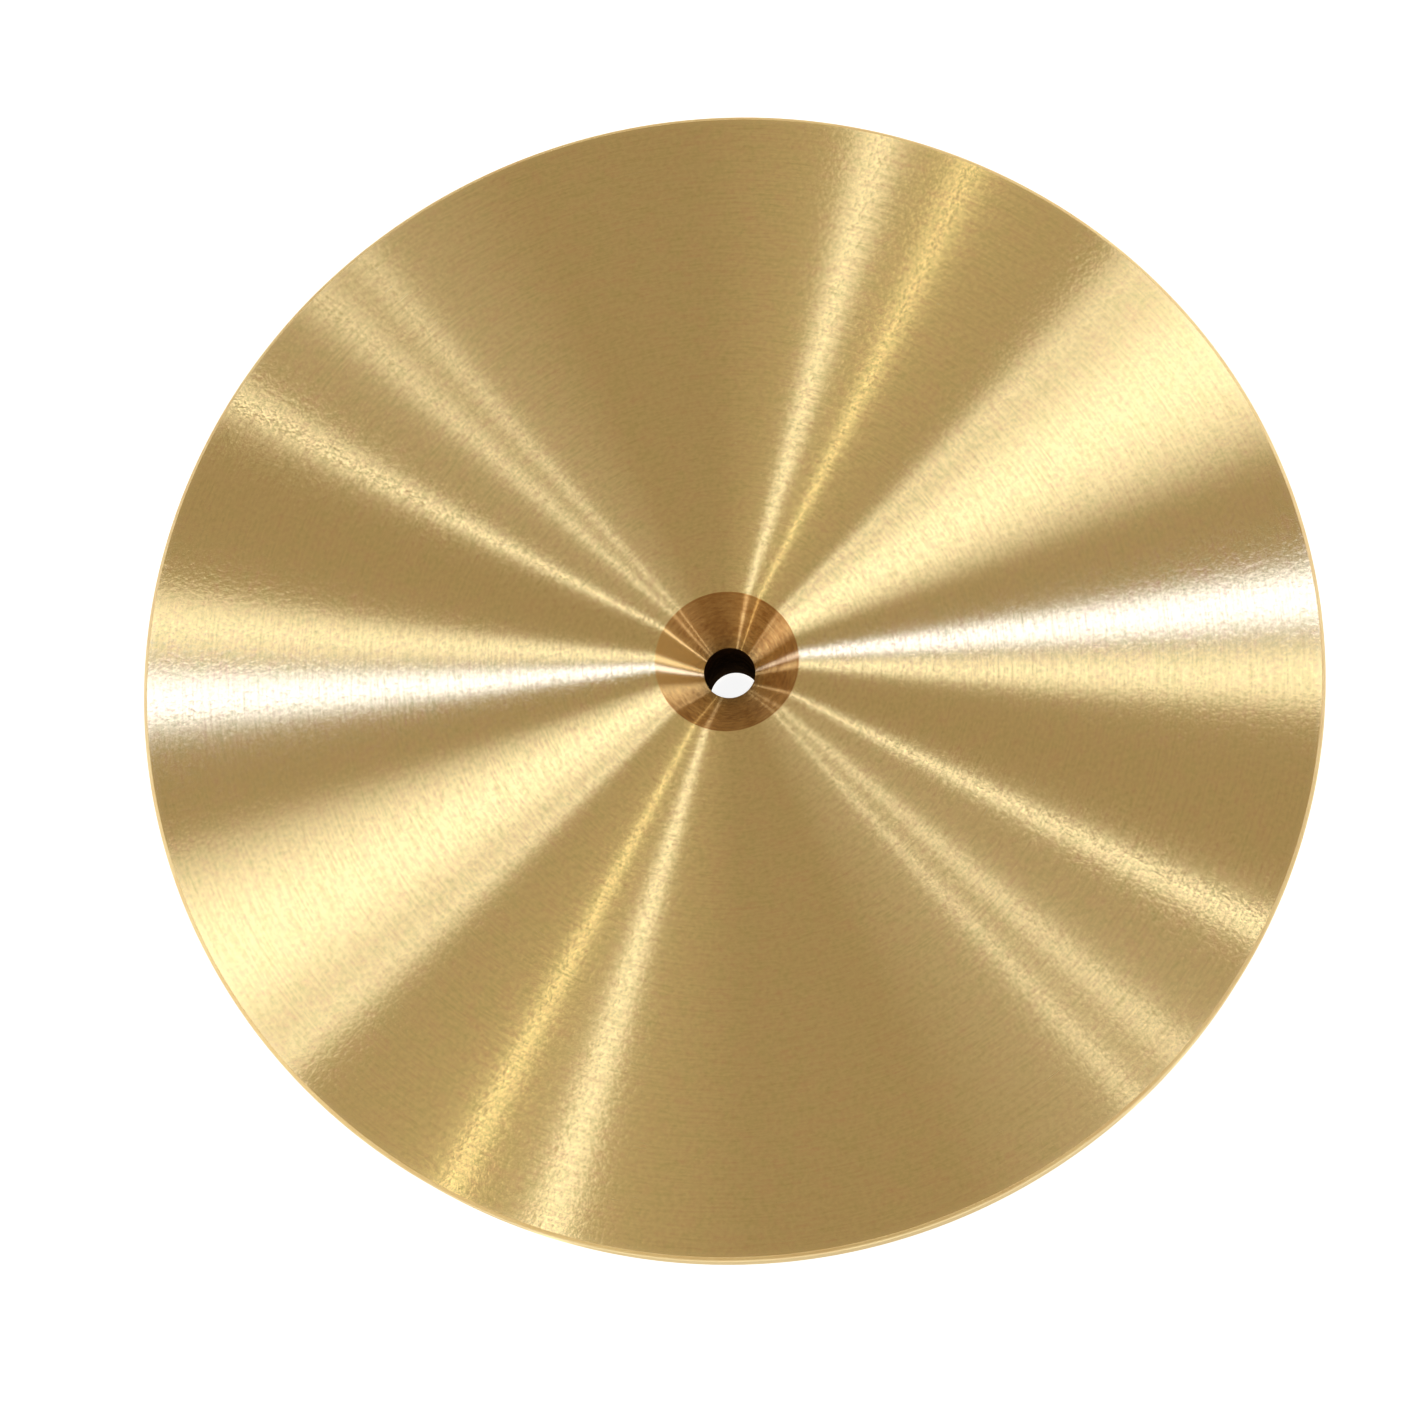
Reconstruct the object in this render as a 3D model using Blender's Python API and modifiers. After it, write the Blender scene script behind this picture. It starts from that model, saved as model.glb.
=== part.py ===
"""Crotale: one turned disc of bell brass with a countersunk bore and a mounting boss.

Metres, +Z up. The origin is the middle of the boss's foot, and the playing face is on top.
"""

import math

import bmesh
import bpy

# Driving dimensions
DISC_RADIUS = 0.070
PLATE_THICKNESS = 0.0059
BORE_RADIUS = 0.0031
SINK_RADIUS = 0.00856  # rim of the countersink in the playing face
SINK_HALF_ANGLE = math.radians(45)
BOSS_RADIUS = 0.0130
BOSS_HEIGHT = 0.0115  # from the plate's underside to the boss's foot
BOSS_ROOT_RADIUS = 0.0030  # fillet between the boss and the plate
RIM_ROUND = 0.0005
LIP_ROUND = 0.0003  # broken edges at the countersink, the bore's foot and the boss's foot
TURN_STEPS = 96
RIM_STEPS = 3
FILLET_STEPS = 4

# Places that follow from them
FACE_HEIGHT = BOSS_HEIGHT + PLATE_THICKNESS
SINK_DEPTH = (SINK_RADIUS - BORE_RADIUS) / math.tan(SINK_HALF_ANGLE)

BRASS_COLOUR = (0.72, 0.52, 0.25, 1.0)
BRASS_ROUGHNESS = 0.28
BRASS_METALLIC = 1.0


def clear_scene():
    """Starts from an empty scene."""
    for old in list(bpy.data.objects):
        bpy.data.objects.remove(old, do_unlink=True)


def make_collection(name):
    """A collection of this name under the scene."""
    group = bpy.data.collections.new(name)
    bpy.context.scene.collection.children.link(group)
    return group


def make_material(name, colour, roughness, metallic):
    """A Principled material with one colour, roughness and metallic value."""
    material = bpy.data.materials.new(name)
    material.use_nodes = True
    material.diffuse_color = colour
    shader = material.node_tree.nodes["Principled BSDF"]
    shader.inputs["Base Color"].default_value = colour
    shader.inputs["Roughness"].default_value = roughness
    shader.inputs["Metallic"].default_value = metallic
    return material


def arc(centre_r, centre_z, radius, start_deg, end_deg, steps):
    """Points (r, z) on an arc in the profile's plane, both ends included."""
    points = []
    for i in range(steps + 1):
        angle = math.radians(start_deg + (end_deg - start_deg) * i / steps)
        r = centre_r + radius * math.cos(angle)
        z = centre_z + radius * math.sin(angle)
        points.append((r, z))
    return points


def disc_profile():
    """The disc's section (r, z), from the countersink's lip out over the face and back up the bore."""
    flank = math.cos(SINK_HALF_ANGLE)
    points = [
        (SINK_RADIUS - LIP_ROUND * flank, FACE_HEIGHT - LIP_ROUND * flank),
        (SINK_RADIUS + LIP_ROUND * (1 - flank), FACE_HEIGHT),
    ]
    rim_r = DISC_RADIUS - RIM_ROUND
    points += arc(rim_r, FACE_HEIGHT - RIM_ROUND, RIM_ROUND, 90, 0, RIM_STEPS)
    points += arc(rim_r, BOSS_HEIGHT + RIM_ROUND, RIM_ROUND, 0, -90, RIM_STEPS)
    root_r = BOSS_RADIUS + BOSS_ROOT_RADIUS
    root_z = BOSS_HEIGHT - BOSS_ROOT_RADIUS
    points += arc(root_r, root_z, BOSS_ROOT_RADIUS, 90, 180, FILLET_STEPS)
    points += [
        (BOSS_RADIUS, LIP_ROUND),
        (BOSS_RADIUS - LIP_ROUND, 0.0),
        (BORE_RADIUS + LIP_ROUND, 0.0),
        (BORE_RADIUS, LIP_ROUND),
        (BORE_RADIUS, FACE_HEIGHT - SINK_DEPTH),
    ]
    return points


def turn(name, profile, group):
    """A closed profile in the XZ plane, turned a full circle about Z."""
    mesh = bpy.data.meshes.new(name)
    outline = bmesh.new()
    corners = [outline.verts.new((r, 0.0, z)) for r, z in profile]
    for i, corner in enumerate(corners):
        outline.edges.new((corner, corners[(i + 1) % len(corners)]))
    outline.to_mesh(mesh)
    outline.free()
    turned = bpy.data.objects.new(name, mesh)
    group.objects.link(turned)
    screw = turned.modifiers.new("turn", "SCREW")
    screw.axis = "Z"
    screw.angle = math.tau
    screw.steps = TURN_STEPS
    screw.render_steps = TURN_STEPS
    screw.use_merge_vertices = True
    screw.merge_threshold = 0.00001
    screw.use_smooth_shade = True
    return turned


def shade_by_angle(target, sharp_deg):
    """Applies the turning, then shades the piece smooth with its corners kept sharp."""
    graph = bpy.context.evaluated_depsgraph_get()
    mesh = bpy.data.meshes.new_from_object(target.evaluated_get(graph), depsgraph=graph)
    target.modifiers.clear()
    target.data = mesh
    mesh.shade_smooth()
    mesh.set_sharp_from_angle(angle=math.radians(sharp_deg))


def make_disc(group):
    """The whole casting: plate, countersink, bore and boss."""
    disc = turn("crotale_disc", disc_profile(), group)
    shade_by_angle(disc, 35)
    disc.data.materials.append(
        make_material("turned_brass", BRASS_COLOUR, BRASS_ROUGHNESS, BRASS_METALLIC)
    )
    return disc


def main():
    clear_scene()
    crotale = make_collection("crotale")
    make_disc(crotale)


main()
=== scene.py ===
"""A crotale: one thick disc of turned brass, lying on its boss with the playing face up."""

import math

import bmesh
import bpy
from mathutils import Matrix, Vector


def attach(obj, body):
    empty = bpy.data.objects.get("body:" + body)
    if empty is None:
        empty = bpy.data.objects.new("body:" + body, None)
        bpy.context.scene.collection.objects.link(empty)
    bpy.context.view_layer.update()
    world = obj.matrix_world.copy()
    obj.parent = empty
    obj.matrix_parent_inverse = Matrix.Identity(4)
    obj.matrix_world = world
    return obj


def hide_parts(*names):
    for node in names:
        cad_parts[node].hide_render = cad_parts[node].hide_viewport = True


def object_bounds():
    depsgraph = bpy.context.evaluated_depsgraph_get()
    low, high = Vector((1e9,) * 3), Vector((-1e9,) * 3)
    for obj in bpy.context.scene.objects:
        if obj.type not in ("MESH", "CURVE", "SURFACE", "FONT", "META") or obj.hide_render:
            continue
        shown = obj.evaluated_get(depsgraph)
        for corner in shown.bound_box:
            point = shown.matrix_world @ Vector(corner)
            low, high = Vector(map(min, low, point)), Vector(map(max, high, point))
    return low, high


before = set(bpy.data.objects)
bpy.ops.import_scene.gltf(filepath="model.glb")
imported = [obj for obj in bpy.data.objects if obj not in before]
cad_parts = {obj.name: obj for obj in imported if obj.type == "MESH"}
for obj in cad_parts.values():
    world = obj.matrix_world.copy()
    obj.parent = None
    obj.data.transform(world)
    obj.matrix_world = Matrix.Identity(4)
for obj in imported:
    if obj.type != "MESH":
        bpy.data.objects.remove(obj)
cad_low, cad_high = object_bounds()

# The disc's sizes in metres: the outer ones come from the frame, the rest repeat the design
DISC_RADIUS = cad_high.x
FACE_HEIGHT = cad_high.z
PLATE_THICKNESS = 0.0059
BORE_RADIUS = 0.0031
SINK_RADIUS = 0.00856
SINK_HALF_ANGLE = math.radians(45)
BOSS_RADIUS = 0.0130
BOSS_ROOT_RADIUS = 0.0030
RIM_ROUND = 0.0005
LIP_ROUND = 0.0003
FOOT_BREAK = 0.0004

PLATE_UNDERSIDE = FACE_HEIGHT - PLATE_THICKNESS
FACE_CENTRE = Vector((0, 0, FACE_HEIGHT))

# How finely the disc is turned: steps around it and in each kind of rounding, and the angle from
# which an edge stays sharp
TURN_STEPS = 384
RIM_STEPS = 8
ROOT_STEPS = 12
BREAK_STEPS = 5
SHARP_EDGE = math.radians(25)

# The view: the camera leans off the disc's axis and is rolled, with the disc a little off centre
CAMERA_ELEVATION = math.radians(75.2)
CAMERA_ROLL = math.radians(15.8)
CAMERA_DISTANCE = 5.04 * DISC_RADIUS
CENTRE_RIGHT = 0.024 * DISC_RADIUS
CENTRE_UP = 0.087 * DISC_RADIUS
CAMERA_LENS = 75.4
SENSOR_WIDTH = 36.0
NEAREST_SEEN = 0.01
FARTHEST_SEEN = 20.0

# The brass, as linear colours
BRASS = (1.0, 0.88, 0.51, 1)
WORN_BRASS = (0.94, 0.86, 0.62, 1)
GROOVE_SHADE = (0.62, 0.49, 0.25, 1)
OLIVE_SHADE = (0.52, 0.50, 0.22, 1)
ROSE_SHADE = (0.70, 0.45, 0.30, 1)
SINK_BRASS = (1.0, 0.73, 0.34, 1)
SINK_SHADE = (0.26, 0.08, 0.005, 1)
# Paler brass painted on one side of the countersink as a highlight
SINK_PAINTED_HIGHLIGHT = (0.80, 0.66, 0.36, 1)
# Near black and dark brown painted on the bore's wall and the countersink's throat as shade
BORE_PAINTED_SHADE = (0.022, 0.012, 0.006, 1)
PAINTED_SHADE_BROWN = (0.05, 0.026, 0.01, 1)
BACK_BRASS = (0.84, 0.70, 0.38, 1)
TARNISH = (0.80, 0.63, 0.33, 1)

# How widely a turned surface spreads light across its grooves, how little along them, and what
# share of its light does so
GROOVE_ROUGHNESS = 0.25
GROOVE_ANISOTROPY = 0.885
GROOVE_SHARE = 0.82
QUARTER_TURN = 0.25

# How rough the coarser surfaces are, and what share of the countersink's light fans out
BACK_ROUGHNESS = 0.31
EDGE_ROUGHNESS = 0.5
BORE_ROUGHNESS = 0.85
SINK_SHARE = 0.44
# The share of bright lobe added on that side of the countersink, as part of its painted highlight
SINK_HIGHLIGHT_SHARE = 0.44

# How deep the tool marks and the grain are, in metres
FACE_LINE_DEPTH = 6.0e-6
FACE_ARC_DEPTH = 5.0e-6
FACE_GRAIN_DEPTH = 1.0e-5
SINK_LINE_DEPTH = 1.6e-6
SINK_ARC_DEPTH = 2.0e-6
SINK_GRAIN_DEPTH = 3.0e-6
BORE_RING_DEPTH = 6.0e-6
BORE_MOTTLE_DEPTH = 8.0e-6
BACK_LINE_DEPTH = 4.0e-6
BACK_ARC_DEPTH = 3.0e-6
NICK_DEPTH = 1.0e-5

# Where wear begins and where it is full, and how wide the painted shade at the countersink's throat is,
# in metres from the edge they belong to
FACE_WEAR_START = 0.0014
FACE_WEAR_FULL = 0.0004
RIM_WEAR_START = 0.0006
RIM_WEAR_FULL = 0.0002
THROAT_SHADE_WIDTH = 0.0016

# The studio
ROOM_COLOUR = (0.47, 0.35, 0.21, 1)
WHITE = (1, 1, 1, 1)
FLOOR_COLOUR = (0.42, 0.44, 0.50, 1)
FLOOR_ROUGHNESS = 0.9
FLOOR_GLOW = 0.9
FLOOR_SIZE = 30.0
FLOOR_DROP = 0.00005
HOOD_RADIUS = 0.9
HOOD_STEPS = 720
HOOD_RINGS = 10
HOOD_NEAR_TILT = math.radians(7)
HOOD_EDGE = math.radians(84)

# How bright a light is against the room, and its tint
FAINT = 0.2
MEDIUM = 1.2
BRIGHT = 1.8
STRONG = 2.6
GLARE = 3.2
CLEAR = (1.0, 1.0, 1.0)
WARM = (1.1, 1.0, 0.7)
BLUE = (0.85, 1.0, 1.6)

# The lights in the hood over the disc: name, azimuth and width in degrees, brightness and tint.
# Each is a pair of equal spokes on opposite sides of the hood, because a turned face throws
# both back as the same straight ray through its centre.
LIGHT_PAIRS = (
    ("broad_lamp", 16, 26, BRIGHT, CLEAR),
    ("broad_lamp_edge", 28, 5, MEDIUM, CLEAR),
    ("left_haze", 52, 50, FAINT, WARM),
    ("thin_slit", 48, 2, STRONG, WARM),
    ("clear_lamp", 58, 5, BRIGHT, CLEAR),
    ("right_haze", 118, 40, FAINT, CLEAR),
    ("thin_strip", 116, 2, BRIGHT, CLEAR),
    ("strip", 122, 4, MEDIUM, CLEAR),
    ("bar", 136, 3, STRONG, CLEAR),
    ("warm_window", 161, 8, BRIGHT, CLEAR),
    ("white_window", 169, 7, GLARE, BLUE),
)


# ---------------------------------------------------------------- the camera

def camera_axes():
    """The camera's right, up and forward directions."""
    forward = Vector((0, math.cos(CAMERA_ELEVATION), -math.sin(CAMERA_ELEVATION)))
    level_right = Vector((1, 0, 0))
    level_up = level_right.cross(forward)
    roll = Matrix.Rotation(CAMERA_ROLL, 3, forward)
    return roll @ level_right, roll @ level_up, forward


def add_camera():
    """A camera that sees the playing face almost square on."""
    right, up, forward = camera_axes()
    offset = right * CENTRE_RIGHT + up * CENTRE_UP + forward * CAMERA_DISTANCE
    lens = bpy.data.cameras.new("camera")
    lens.lens = CAMERA_LENS
    lens.sensor_width = SENSOR_WIDTH
    lens.clip_start = NEAREST_SEEN
    lens.clip_end = FARTHEST_SEEN
    camera = bpy.data.objects.new("camera", lens)
    axes = Matrix((right, up, -forward)).transposed()
    camera.matrix_world = Matrix.LocRotScale(FACE_CENTRE - offset, axes, None)
    bpy.context.scene.collection.objects.link(camera)
    bpy.context.scene.camera = camera
    return camera


# ---------------------------------------------------------------- how a finish is built

class Value:
    """What one socket of a finish carries. Arithmetic on it adds Math nodes."""

    def __init__(self, finish, socket):
        self.finish = finish
        self.socket = socket

    def math(self, operation, *terms):
        return self.finish.node("ShaderNodeMath", {"operation": operation}, dict(enumerate(terms)))

    def __add__(self, other):
        return self.math("ADD", self, other)

    def __radd__(self, other):
        return self.math("ADD", other, self)

    def __sub__(self, other):
        return self.math("SUBTRACT", self, other)

    def __rsub__(self, other):
        return self.math("SUBTRACT", other, self)

    def __mul__(self, other):
        return self.math("MULTIPLY", self, other)

    def __rmul__(self, other):
        return self.math("MULTIPLY", other, self)

    def __truediv__(self, other):
        return self.math("DIVIDE", self, other)

    def __rtruediv__(self, other):
        return self.math("DIVIDE", other, self)

    def __pow__(self, other):
        return self.math("POWER", self, other)

    def __rpow__(self, other):
        return self.math("POWER", other, self)


class Finish:
    """A material under construction."""

    def __init__(self, name):
        self.material = bpy.data.materials.new(name)
        self.material.use_nodes = True
        self.tree = self.material.node_tree
        self.tree.nodes.clear()

    def node(self, kind, settings, sockets, output=0):
        """Adds a node: its settings first, then the values or links of its sockets."""
        made = self.tree.nodes.new(kind)
        for name, setting in settings.items():
            setattr(made, name, setting)
        for key, value in sockets.items():
            socket = made.inputs[key]
            if isinstance(value, Value):
                self.tree.links.new(value.socket, socket)
            else:
                socket.default_value = value
        return Value(self, made.outputs[output])

    def place(self):
        """The surface point as x, y and z in metres."""
        point = self.node("ShaderNodeTexCoord", {}, {}, "Object")
        return [self.node("ShaderNodeSeparateXYZ", {}, {0: point}, axis) for axis in range(3)]

    def join(self, x, y, z):
        """A vector from three values."""
        return self.node("ShaderNodeCombineXYZ", {}, {0: x, 1: y, 2: z})

    def noise(self, vector, scale=1.0, detail=2.0, roughness=0.5):
        """Smooth noise from 0 to 1, with a grain of 1/scale."""
        sockets = {"Vector": vector, "Scale": scale, "Detail": detail, "Roughness": roughness}
        return self.node("ShaderNodeTexNoise", {"noise_dimensions": "3D"}, sockets)

    def blend(self, share, first, second):
        """A mix of two colours."""
        settings = {"data_type": "RGBA", "blend_type": "MIX"}
        return self.node("ShaderNodeMix", settings, {0: share, 6: first, 7: second}, 2)

    def band(self, value, low, high):
        """A mask that climbs from 0 at low to 1 at high."""
        settings = {"interpolation_type": "SMOOTHSTEP"}
        return self.node("ShaderNodeMapRange", settings, {0: value, 1: low, 2: high})

    def relief(self, height):
        """A surface direction that follows this height in metres."""
        return self.node("ShaderNodeBump", {}, {"Strength": 1.0, "Distance": 1.0, "Height": height})

    def end(self, surface):
        """Makes this surface the material's."""
        output = self.tree.nodes.new("ShaderNodeOutputMaterial")
        self.tree.links.new(surface.socket, output.inputs["Surface"])
        return self.material


# Keeps a division by the radius safe on the axis itself
AXIS_GUARD = 1e-5


def around_axis(x, y):
    """How far a point is from the disc's axis, and how far east and north of it as shares of that."""
    radius = (x * x + y * y) ** 0.5
    safe_radius = radius + AXIS_GUARD
    return radius, x / safe_radius, y / safe_radius


def swing(noise, amount):
    """Noise from 0 to 1 as a swing about 0, from end to end as wide as this amount."""
    return (noise - 0.5) * amount


# ---------------------------------------------------------------- the disc's finishes

def turned_brass(finish, colour, groove_colour, roughness, height, share=GROOVE_SHARE):
    """Turned brass: a sharp lobe that fans out across the grooves, over a softer one."""
    relief = finish.relief(height)
    soft = finish.node("ShaderNodeBsdfPrincipled", {}, {
        "Base Color": colour,
        "Metallic": 1.0,
        "Roughness": roughness,
        "Anisotropic": 1.0,
        "Anisotropic Rotation": QUARTER_TURN,
        "Normal": relief,
    })
    fan = finish.node("ShaderNodeBsdfAnisotropic", {}, {
        "Color": groove_colour,
        "Roughness": roughness,
        "Anisotropy": GROOVE_ANISOTROPY,
        "Normal": relief,
    })
    return finish.node("ShaderNodeMixShader", {}, {0: share, 1: soft, 2: fan})


def playing_face_finish():
    """The face: fine tool lines, broken arcs, a grain, faint stains and a paler outer edge."""
    finish = Finish("turned_face")
    x, y, _ = finish.place()
    radius, east, north = around_axis(x, y)
    level = finish.join(x, y, 0.0)
    lines = finish.noise(finish.join(radius, 0.0, 0.0), scale=3400, detail=3.0, roughness=0.6)
    arcs = finish.noise(finish.join(radius * 3200, east * 15, north * 15), detail=3.0, roughness=0.65)
    grain = finish.noise(level, scale=1600, detail=2.0, roughness=0.55)
    cloud = finish.noise(level, scale=45, detail=3.0, roughness=0.55)
    tint = finish.noise(finish.join(x, y, 0.01), scale=420, detail=3.0, roughness=0.6)
    height = lines * FACE_LINE_DEPTH + arcs * FACE_ARC_DEPTH + grain * FACE_GRAIN_DEPTH
    roughness = GROOVE_ROUGHNESS + swing(cloud, 0.02) + swing(arcs, 0.08) + swing(lines, 0.05)
    edge = finish.band(radius, DISC_RADIUS - FACE_WEAR_START, DISC_RADIUS - FACE_WEAR_FULL)
    stain = finish.blend(finish.band(tint, 0.35, 0.65), OLIVE_SHADE, ROSE_SHADE)
    shade = finish.blend(finish.band(cloud, 0.4, 0.7) * 0.5, stain, GROOVE_SHADE)
    colour = finish.blend(edge * 0.7, shade, WORN_BRASS)
    share = GROOVE_SHARE + swing(arcs, 1.2) + swing(grain, 0.9) + swing(lines, 0.6)
    return finish.end(turned_brass(finish, colour, BRASS, roughness, height, share))


def countersink_finish():
    """The cone: marks of the countersink's cutter, a painted highlight on one side, and painted shade
    browning it towards the throat.
    """
    finish = Finish("countersink")
    x, y, z = finish.place()
    radius, east, north = around_axis(x, y)
    lines = finish.noise(finish.join(radius, 0.0, 0.0), scale=4200, detail=3.0, roughness=0.6)
    arcs = finish.noise(finish.join(radius * 3400, east * 7, north * 7), detail=2.0, roughness=0.6)
    cloud = finish.noise(finish.join(x, y, z), scale=260, detail=3.0, roughness=0.55)
    height = lines * SINK_LINE_DEPTH + arcs * SINK_ARC_DEPTH + cloud * SINK_GRAIN_DEPTH
    # Painted shade: the cone is browned towards the bore, where shade falls in the hole's throat
    throat = 1.0 - finish.band(radius, BORE_RADIUS, BORE_RADIUS + THROAT_SHADE_WIDTH)
    # A painted highlight: one side of the cone gets paler brass and more of the bright lobe
    painted_highlight_side = finish.band(north * 0.3 - east * 0.95, 0.8, 1.0)
    shade = finish.blend(painted_highlight_side, SINK_SHADE, SINK_PAINTED_HIGHLIGHT)
    colour = finish.blend(throat * 0.6, shade, PAINTED_SHADE_BROWN)
    share = SINK_SHARE + painted_highlight_side * SINK_HIGHLIGHT_SHARE
    share = share + swing(arcs, 0.6) + swing(lines, 0.4) + swing(cloud, 0.6)
    roughness = GROOVE_ROUGHNESS + swing(cloud, 0.05)
    return finish.end(turned_brass(finish, colour, SINK_BRASS, roughness, height, share))


def bore_finish():
    """The bore: drilled, its wall painted near black with dark brown mottling as painted shade inside the
    hole, and barely reflecting.
    """
    finish = Finish("bore_wall")
    x, y, z = finish.place()
    _, east, north = around_axis(x, y)
    rings = finish.noise(finish.join(z * 2400, east * 1.5, north * 1.5), detail=2.0, roughness=0.6)
    bore_mottle = finish.noise(finish.join(x, y, z), scale=900, detail=3.0, roughness=0.6)
    return finish.end(finish.node("ShaderNodeBsdfPrincipled", {}, {
        "Base Color": finish.blend(finish.band(bore_mottle, 0.4, 0.8), BORE_PAINTED_SHADE, PAINTED_SHADE_BROWN),
        "Specular IOR Level": 0.0,
        "Roughness": BORE_ROUGHNESS + bore_mottle * 0.1,
        "Normal": finish.relief(rings * BORE_RING_DEPTH + bore_mottle * BORE_MOTTLE_DEPTH),
    }))


def rubbed_rim_finish():
    """The rim's rounded upper edge, rubbed smooth and paler by handling."""
    finish = Finish("rubbed_edge")
    point = finish.join(*finish.place())
    nicks = finish.noise(point, scale=1400, detail=3.0, roughness=0.6)
    wear = finish.noise(point, scale=120, detail=3.0, roughness=0.6)
    return finish.end(finish.node("ShaderNodeBsdfPrincipled", {}, {
        "Base Color": finish.blend(finish.band(wear, 0.4, 0.7), BACK_BRASS, TARNISH),
        "Metallic": 1.0,
        "Roughness": EDGE_ROUGHNESS + swing(nicks, 0.12),
        "Normal": finish.relief(nicks * NICK_DEPTH),
    }))


def back_finish():
    """The underside, boss and rim: turned too, but coarser and duller than the face."""
    finish = Finish("turned_back")
    x, y, z = finish.place()
    radius, east, north = around_axis(x, y)
    lines = finish.noise(finish.join(radius, z, 0.0), scale=1500, detail=3.0, roughness=0.6)
    broken = finish.join(radius * 1500, east * 8, z * 1500 + north * 8)
    arcs = finish.noise(broken, detail=2.0, roughness=0.6)
    cloud = finish.noise(finish.join(x, y, z), scale=70, detail=4.0, roughness=0.6)
    height = lines * BACK_LINE_DEPTH + arcs * BACK_ARC_DEPTH
    roughness = BACK_ROUGHNESS + swing(cloud, 0.12) + swing(arcs, 0.05)
    rim = finish.band(radius, DISC_RADIUS - RIM_WEAR_START, DISC_RADIUS - RIM_WEAR_FULL)
    shade = finish.blend(finish.band(cloud, 0.45, 0.75) * 0.6, BACK_BRASS, TARNISH)
    colour = finish.blend(rim * 0.4, shade, WORN_BRASS)
    return finish.end(turned_brass(finish, colour, BACK_BRASS, roughness, height))


# ---------------------------------------------------------------- the disc

# The disc's material slots, in order
PLAYING_FACE, COUNTERSINK, BORE, BACK, RUBBED_RIM = range(5)

# How far up a face of the mesh has to look to belong to the rubbed rim, or to the top and the
# countersink, and how far off the bore's wall a face may lie and still belong to it
RIM_LOOK = 0.05
TOP_LOOK = 0.3
BORE_SLACK = 1e-5


def arc(centre_r, centre_z, radius, start_deg, end_deg, steps):
    """Points (r, z) on an arc in the section's plane, both ends included."""
    angles = [math.radians(start_deg + (end_deg - start_deg) * i / steps) for i in range(steps + 1)]
    return [(centre_r + radius * math.cos(a), centre_z + radius * math.sin(a)) for a in angles]


def disc_section():
    """The section (r, z) in the order of turning: rim, underside, boss, bore, countersink and its lip."""
    rim_r = DISC_RADIUS - RIM_ROUND
    root_r = BOSS_RADIUS + BOSS_ROOT_RADIUS
    sink_floor = FACE_HEIGHT - (SINK_RADIUS - BORE_RADIUS) / math.tan(SINK_HALF_ANGLE)
    lip_run = LIP_ROUND * math.tan(SINK_HALF_ANGLE / 2)
    points = arc(rim_r, FACE_HEIGHT - RIM_ROUND, RIM_ROUND, 90, 0, RIM_STEPS)
    points += arc(rim_r, PLATE_UNDERSIDE + RIM_ROUND, RIM_ROUND, 0, -90, RIM_STEPS)
    points += arc(root_r, PLATE_UNDERSIDE - BOSS_ROOT_RADIUS, BOSS_ROOT_RADIUS, 90, 180, ROOT_STEPS)
    points += arc(BOSS_RADIUS - FOOT_BREAK, FOOT_BREAK, FOOT_BREAK, 0, -90, BREAK_STEPS)
    points += arc(BORE_RADIUS + FOOT_BREAK, FOOT_BREAK, FOOT_BREAK, -90, -180, BREAK_STEPS)
    points += [(BORE_RADIUS, sink_floor)]
    points += arc(SINK_RADIUS + lip_run, FACE_HEIGHT - LIP_ROUND, LIP_ROUND, 135, 90, BREAK_STEPS)
    return points


def join_columns(shell, columns, rows):
    """Faces between neighbouring columns of corners, all the way round the axis, in this many rows."""
    for column, following in zip(columns, columns[1:] + columns[:1]):
        for i in range(rows):
            below = (i + 1) % len(column)
            shell.faces.new((column[i], column[below], following[below], following[i]))


def turn_section(mesh, section):
    """Turns the closed section around the disc's axis into this mesh."""
    shell = bmesh.new()
    columns = []
    for j in range(TURN_STEPS):
        azimuth = math.tau * j / TURN_STEPS
        east, north = math.cos(azimuth), math.sin(azimuth)
        columns.append([shell.verts.new((r * east, r * north, z)) for r, z in section])
    join_columns(shell, columns, len(section))
    shell.to_mesh(mesh)
    shell.free()


def slot_of(centre, normal):
    """The material slot of a face of the mesh, from where it lies and which way it looks."""
    radius = math.hypot(centre.x, centre.y)
    if radius > DISC_RADIUS - RIM_ROUND and normal.z > RIM_LOOK:
        return RUBBED_RIM
    if radius > SINK_RADIUS:
        return PLAYING_FACE if normal.z > TOP_LOOK else BACK
    if normal.z > TOP_LOOK:
        return COUNTERSINK
    return BORE if radius < BORE_RADIUS + BORE_SLACK else BACK


def make_disc():
    """The one piece: a turned disc with its five finishes."""
    mesh = bpy.data.meshes.new("crotale")
    turn_section(mesh, disc_section())
    mesh.shade_smooth()
    mesh.set_sharp_from_angle(angle=SHARP_EDGE)
    for finish in (
        playing_face_finish(),
        countersink_finish(),
        bore_finish(),
        back_finish(),
        rubbed_rim_finish(),
    ):
        mesh.materials.append(finish)
    for face in mesh.polygons:
        face.material_index = slot_of(face.center, face.normal)
    disc = bpy.data.objects.new("crotale", mesh)
    bpy.context.scene.collection.objects.link(disc)
    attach(disc, "root")
    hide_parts("crotale_disc")


# ---------------------------------------------------------------- the studio

def add_floor():
    """A wide pale floor that the disc's boss rests on."""
    bpy.ops.mesh.primitive_plane_add(size=FLOOR_SIZE, location=(0, 0, -FLOOR_DROP))
    floor = bpy.context.object
    floor.name = "floor"
    finish = Finish("pale_floor")
    surface = finish.node("ShaderNodeBsdfPrincipled", {}, {
        "Base Color": FLOOR_COLOUR,
        "Roughness": FLOOR_ROUGHNESS,
        "Emission Color": WHITE,
        "Emission Strength": FLOOR_GLOW,
    })
    floor.data.materials.append(finish.end(surface))


def add_room_light():
    """The room's own dim, warm light from every side."""
    room = bpy.data.worlds.new("room")
    room.use_nodes = True
    room.node_tree.nodes["Background"].inputs["Color"].default_value = ROOM_COLOUR
    bpy.context.scene.world = room


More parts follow.
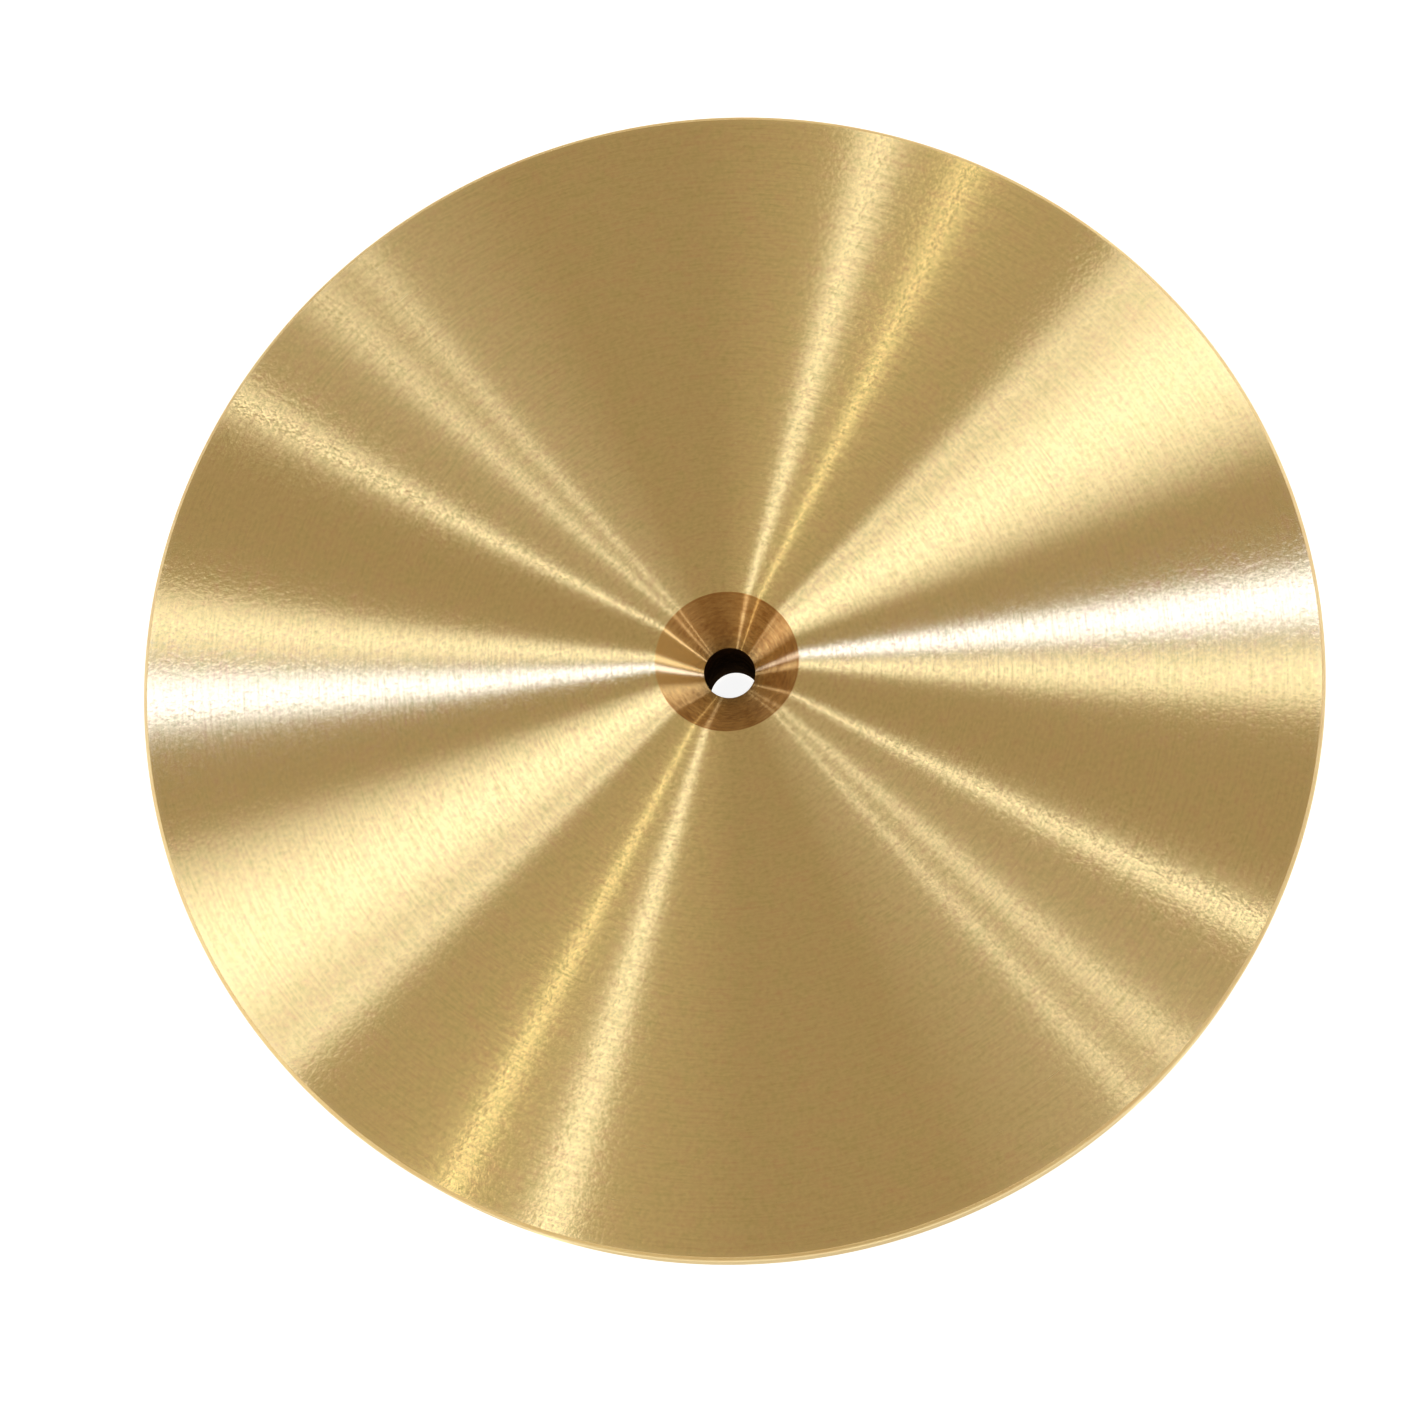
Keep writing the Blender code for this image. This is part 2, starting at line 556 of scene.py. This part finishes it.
def thrown_back(azimuth, tilt, to_camera):
    """Where the face would throw the camera's sight line, tipped by this tilt towards this azimuth."""
    sideways = math.sin(tilt)
    normal = Vector((sideways * math.cos(azimuth), sideways * math.sin(azimuth), math.cos(tilt)))
    return 2 * to_camera.dot(normal) * normal - to_camera


def glow_at(azimuth):
    """The colour of the light hood at this azimuth in degrees: the room's, with the lights added."""
    glow = Vector(ROOM_COLOUR[:3])
    for _, middle, width, brightness, tint in LIGHT_PAIRS:
        across = ((azimuth - middle + 90) % 180 - 90) / width + 0.5
        if 0 < across < 1:
            glow += Vector(tint) * brightness * math.sin(math.pi * across)
    return glow


def hood_column(shell, glow_layer, azimuth, to_camera):
    """The hood's corners at one azimuth, from over the disc outwards. Both ends have the room's glow."""
    glow = (*glow_at(math.degrees(azimuth)), 1)
    lean = math.radians(90) - CAMERA_ELEVATION
    far_tilt = (HOOD_EDGE - lean * math.sin(azimuth)) / 2
    column = []
    for i in range(HOOD_RINGS + 1):
        tilt = HOOD_NEAR_TILT + (far_tilt - HOOD_NEAR_TILT) * i / HOOD_RINGS
        corner = shell.verts.new(FACE_CENTRE + HOOD_RADIUS * thrown_back(azimuth, tilt, to_camera))
        corner[glow_layer] = glow if 0 < i < HOOD_RINGS else ROOM_COLOUR
        column.append(corner)
    return column


def add_light_hood(to_camera):
    """A hood of light over the disc, whose glow changes with azimuth and fades into the room's."""
    shell = bmesh.new()
    glow_layer = shell.verts.layers.float_color.new("glow")
    azimuths = [math.tau * j / HOOD_STEPS for j in range(HOOD_STEPS)]
    columns = [hood_column(shell, glow_layer, azimuth, to_camera) for azimuth in azimuths]
    join_columns(shell, columns, HOOD_RINGS)
    mesh = bpy.data.meshes.new("light_hood")
    shell.to_mesh(mesh)
    shell.free()
    finish = Finish("hood_glow")
    glow = finish.node("ShaderNodeAttribute", {"attribute_name": "glow"}, {}, "Color")
    mesh.materials.append(finish.end(finish.node("ShaderNodeEmission", {}, {"Color": glow})))
    hood = bpy.data.objects.new("light_hood", mesh)
    bpy.context.scene.collection.objects.link(hood)
    hood.visible_camera = False


camera = add_camera()
make_disc()
add_floor()
add_room_light()
add_light_hood((camera.location - FACE_CENTRE).normalized())
bpy.context.scene.view_settings.view_transform = "Standard"
